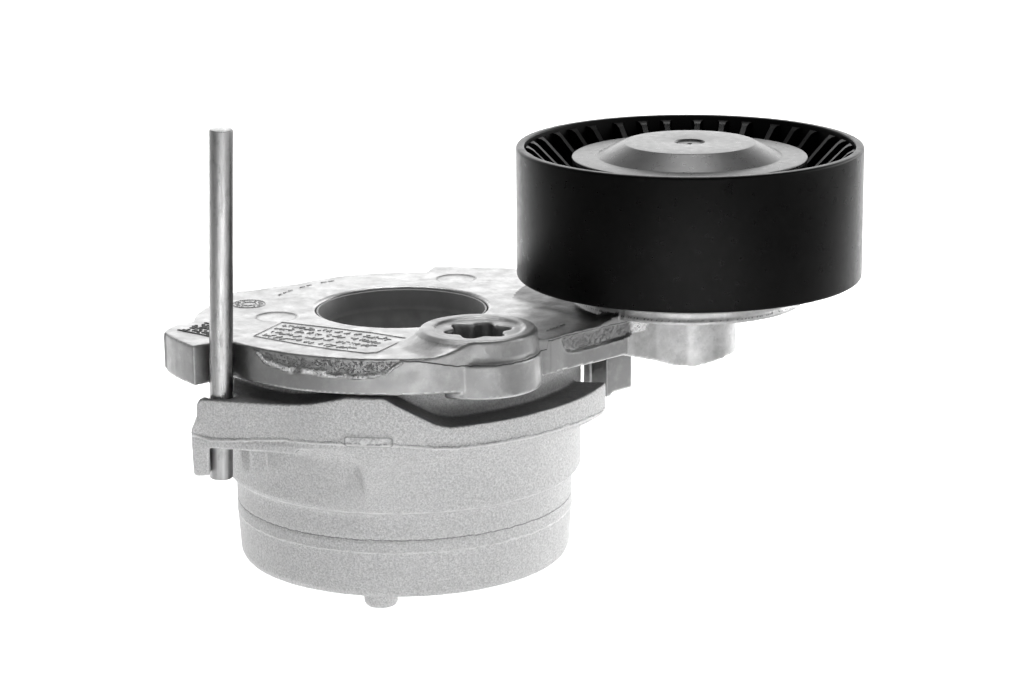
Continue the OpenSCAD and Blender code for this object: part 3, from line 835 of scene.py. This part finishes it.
def dot_marks():
    """Patch of random dark dots beside the stop tab."""
    chance = random.Random(5)
    corner, across, rise = Vector((-43.2, -18.3)), Vector((7.2, -5.9)), Vector((5.2, 6.0))
    turn = math.degrees(math.atan2(across.y, across.x))
    bm = bmesh.new()
    for i in range(14):
        for k in range(12):
            if chance.random() < 0.5 or k == 0:
                add_bar(bm, corner + across * (i / 14) + rise * (k / 12), turn, 0.62, 0.6)
    return piece("arm_dot_marks", to_mesh(bm, "arm_dot_marks"), etched_marks("dark_marks", 0.04),
                 "arm")


# ---- pulley ----

def pulley_moulding():
    """Hub and belt rim turned in one profile, joined by uneven groups of ribs."""
    at = (PULLEY_X, PULLEY_Y)
    low, top = PULLEY_LO.z / MM, PULLEY_HI.z / MM
    profile = rounded([(20, 63), (23.6, 63), (23.6, 68), (32.8, 68), (32.6, low), (35, low, 0.6),
                       (35, top, 0.55), (33.3, top, 0.35), (32.8, 71), (23.6, 71), (23.6, 80.3),
                       (20, 80.3)], 0.3)
    bm = lathe(profile, at, turns=256)
    # ribs, in groups of three uneven steps
    for group in range(12):
        for step in (0, 8.9, 18.4):
            add_rib(bm, math.radians(30 * group + step + 5.3), low, top)
    bmesh.ops.recalc_face_normals(bm, faces=bm.faces)
    return piece("pulley_moulding", to_mesh(bm, "pulley_moulding", math.radians(40)),
                 pulley_plastic(), "pulley", ("pulley_rim",))


def add_rib(bm, angle, low, top):
    """One radial rib, 1.1 mm thick, that flares out where it meets the rim."""
    outline = [(23.3, low + 4, 0.55), (31.6, low + 1.3, 0.55), (32.4, low + 1.1, 0.75),
               (33, low + 1, 1.25), (33, top - 0.9, 1.25), (32.4, top - 1.1, 0.75),
               (31.6, top - 1.6, 0.55), (26.4, top - 6.6, 0.55), (23.3, top - 7.4, 0.55)]
    out = Vector((math.cos(angle), math.sin(angle), 0))
    side = Vector((-out.y, out.x, 0))
    centre = Vector((PULLEY_X, PULLEY_Y, 0))
    walls = []
    for sign in (-1, 1):
        walls.append([bm.verts.new(centre + out * r * MM + Vector((0, 0, z * MM))
                                   + side * sign * half * MM)
                      for r, z, half in outline])
    count = len(outline)
    bm.faces.new(walls[0])
    bm.faces.new(list(reversed(walls[1])))
    for i in range(count):
        j = (i + 1) % count
        bm.faces.new([walls[0][j], walls[0][i], walls[1][i], walls[1][j]])


def cap_moulding():
    """Dust cap with a flat rim, a cone and a dimple with a gate pit."""
    bm = lathe(rounded([(0, 82.3, 0), (12.6, 82.3), (17.6, 80.3), (18.3, 80.3), (18.3, 76),
                        (19.9, 76), (19.9, 80.3), (23.75, 80.3, 0.15), (23.75, 80.9, 0.3),
                        (18.65, 80.95, 0.8), (13.25, 83.65, 1.0), (3.1, 83.7, 0.12),
                        (2.95, 83.3, 0.12), (0.5, 83.3, 0.1), (0.5, 82.9, 0), (0, 82.9, 0)],
                       0.2), (PULLEY_X, PULLEY_Y), turns=160)
    return piece("cap_moulding", to_mesh(bm, "cap_moulding"), cap_plastic(), "pulley",
                 ("dust_cap",))


def shield_pressing():
    """Pressed dish behind the pulley, with a low turned-up rim."""
    low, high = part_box("rear_dust_shield")
    z0, z1 = low.z / MM, high.z / MM
    bm = lathe(rounded([(5.1, z0), (29.4, z0, 0.5), (30, z0 + 0.4, 0.3), (30, z1, 0.12),
                        (29.4, z1, 0.12), (29.3, z0 + 0.8, 0.1), (5.1, z0 + 0.8)], 0.15),
               (PULLEY_X, PULLEY_Y), turns=200)
    return piece("shield_pressing", to_mesh(bm, "shield_pressing"),
                 metal("shield_steel", 0.30, 0.40), "arm", ("rear_dust_shield",))


# ---- pin, tube and spring ----

def pin_joint():
    """The frame's joint that the locking pin slides along."""
    return next(j for j in frame["joints"] if j["name"] == "pin_pull")


def drawn_pin():
    """Drawn pin with slightly burred, sheared ends, along the axis of its joint."""
    axis = Vector(pin_joint()["axis"]).normalized()
    low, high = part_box("locking_pin")
    centre = (low + high) / 2
    radius, length = 2.3, 69.5
    half = length / 2
    bm = lathe(rounded([(0, -half, 0), (radius, -half, 0.3), (radius, half, 0.25),
                        (0, half, 0)], 0.2, 3), turns=64)
    turn = Vector((0, 0, 1)).rotation_difference(axis).to_matrix().to_4x4()
    across = np.array([v.co.x / (radius * MM) for v in bm.verts])
    bm.transform(Matrix.Translation(centre) @ turn)
    mesh = to_mesh(bm, "pin_drawn")
    store(mesh, "across", across)
    return piece("pin_drawn", mesh, pin_steel(), "pin", ("locking_pin",))


def tube_coating():
    """Dark coating, with painted light that makes it lighter deep inside the bore."""
    f = Finish("coated_tube_steel", grey(0.17), 0.42)
    # painted light: lighter further down the bore
    f.tint(f.remap(f.axis("Z"), 47.5 * MM, 44.5 * MM, 0.0, 0.9), grey(0.42))
    f.tint(f.remap(f.noise(5 * MM, 4.0, 0.6), 0.4, 0.7, 0.0, 0.4), grey(0.11))
    smears = f.remap(f.noise(1.6 * MM, 4.0, 0.7, stretch=(1, 1, 0.5), seed=3.0), 0.66, 0.72)
    f.tint(f.multiply(smears, 0.3), grey(0.5))
    f.roughen(f.noise(1 * MM, 3.0, 0.6, seed=2.0), 0.38, 0.48)
    f.emboss(f.noise(0.5 * MM, 2.0, 0.5), 0.01 * MM)
    return f.material


def turned_tube():
    """Pivot tube with its ring groove and a flared bore."""
    low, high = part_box("pivot_tube")
    z0, top, outer = low.z / MM, high.z / MM, high.x / MM
    inner = outer - 1.3
    groove = outer - 0.55
    bm = lathe(rounded([(inner, z0), (outer, z0), (outer, 30.95, 0), (groove, 30.95, 0),
                        (groove, 32.45, 0), (outer, 32.45, 0), (outer, top, 0.12),
                        (outer - 0.4, top, 0.2), (inner, top - 4, 2)], 0.2), turns=160)
    return piece("tube_turned", to_mesh(bm, "tube_turned"), tube_coating(), "base",
                 ("pivot_tube",))


def wound_spring():
    """Smooth round wire along the CAD coil."""
    low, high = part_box("torsion_spring")
    wire = 2.9 * MM
    coil = high.x - wire
    rise, turns = 6.1 * MM, 3.75
    sides, per_turn = 20, 72
    bm = bmesh.new()
    rings = []
    for i in range(int(turns * per_turn) + 1):
        a = 2 * math.pi * i / per_turn
        centre_z = low.z + wire + rise * i / per_turn
        rings.append([bm.verts.new(((coil + wire * math.cos(b)) * math.cos(a),
                                    (coil + wire * math.cos(b)) * math.sin(a),
                                    centre_z + wire * math.sin(b)))
                      for b in (2 * math.pi * k / sides for k in range(sides))])
    for one, two in zip(rings, rings[1:]):
        for k in range(sides):
            n = (k + 1) % sides
            bm.faces.new([one[k], one[n], two[n], two[k]])
    bm.faces.new(list(reversed(rings[0])))
    bm.faces.new(rings[-1])
    bmesh.ops.recalc_face_normals(bm, faces=bm.faces)
    mesh = to_mesh(bm, "spring_wound")
    spring = linked("spring_wound", mesh, metal("spring_steel", 0.30, 0.35))
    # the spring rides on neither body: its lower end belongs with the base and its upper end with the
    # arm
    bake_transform(spring)
    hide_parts("torsion_spring")
    return spring


# ---- CAD nodes that keep their own shape ----

def dress_cad_nodes():
    """Gives every CAD node that stays its material; shapes and places are left alone."""
    looks = {
        "thrust_washer": polymer("washer_polymer", (0.62, 0.60, 0.52), 0.5),
        "lower_spring_seat": polymer("seat_polymer", grey(0.02), 0.5),
        "retaining_ring": metal("ring_steel", 0.35, 0.3),
        "upper_pivot_bush": polymer("upper_bush_polymer", (0.06, 0.065, 0.05), 0.45),
        "lower_pivot_bush": polymer("lower_bush_polymer", (0.06, 0.065, 0.05), 0.45),
        "damping_shoe": polymer("shoe_polymer", (0.05, 0.04, 0.03), 0.5),
        "shoe_backing": metal("backing_steel", 0.45, 0.35),
        "rear_spacer": metal("spacer_steel", 0.55, 0.28),
        "pulley_sleeve": metal("sleeve_steel", 0.55, 0.25),
        "bearing_inner_ring": metal("inner_ring_steel", 0.62, 0.18),
        "bearing_outer_ring": metal("outer_ring_steel", 0.62, 0.18),
        "bearing_balls": metal("ball_steel", 0.75, 0.08),
        "ball_cage": polymer("cage_polymer", (0.30, 0.20, 0.08), 0.45),
        "bearing_seal_front": polymer("front_seal_rubber", grey(0.012), 0.6),
        "bearing_seal_rear": polymer("rear_seal_rubber", grey(0.012), 0.6),
        "pulley_bolt": metal("bolt_steel", 0.45, 0.32),
    }
    for name, material in looks.items():
        node = NODES[name]
        for slot in node.material_slots:
            slot.material = material


make_camera()
make_floor()
make_world()
soft_light("overhead", (0.0, 0.25, 1.1), (0.0, 0.0, 0.0), 0.8, 6, 120, mirrored=False)
soft_light("backdrop", (0, 1.6, 1.5), (0, 1.6, 0), 2.4, 55, 60)
soft_light("table", (0.1, -1.0, 0.75), (0.1, -1.0, -0.14), 0.9, 12, 60, mirrored=False)
SCENE.view_settings.view_transform = "Standard"

base_casting()
arm_cast_body()
panel_marks()
dot_marks()
pulley_moulding()
cap_moulding()
shield_pressing()
drawn_pin()
turned_tube()
wound_spring()
dress_cad_nodes()
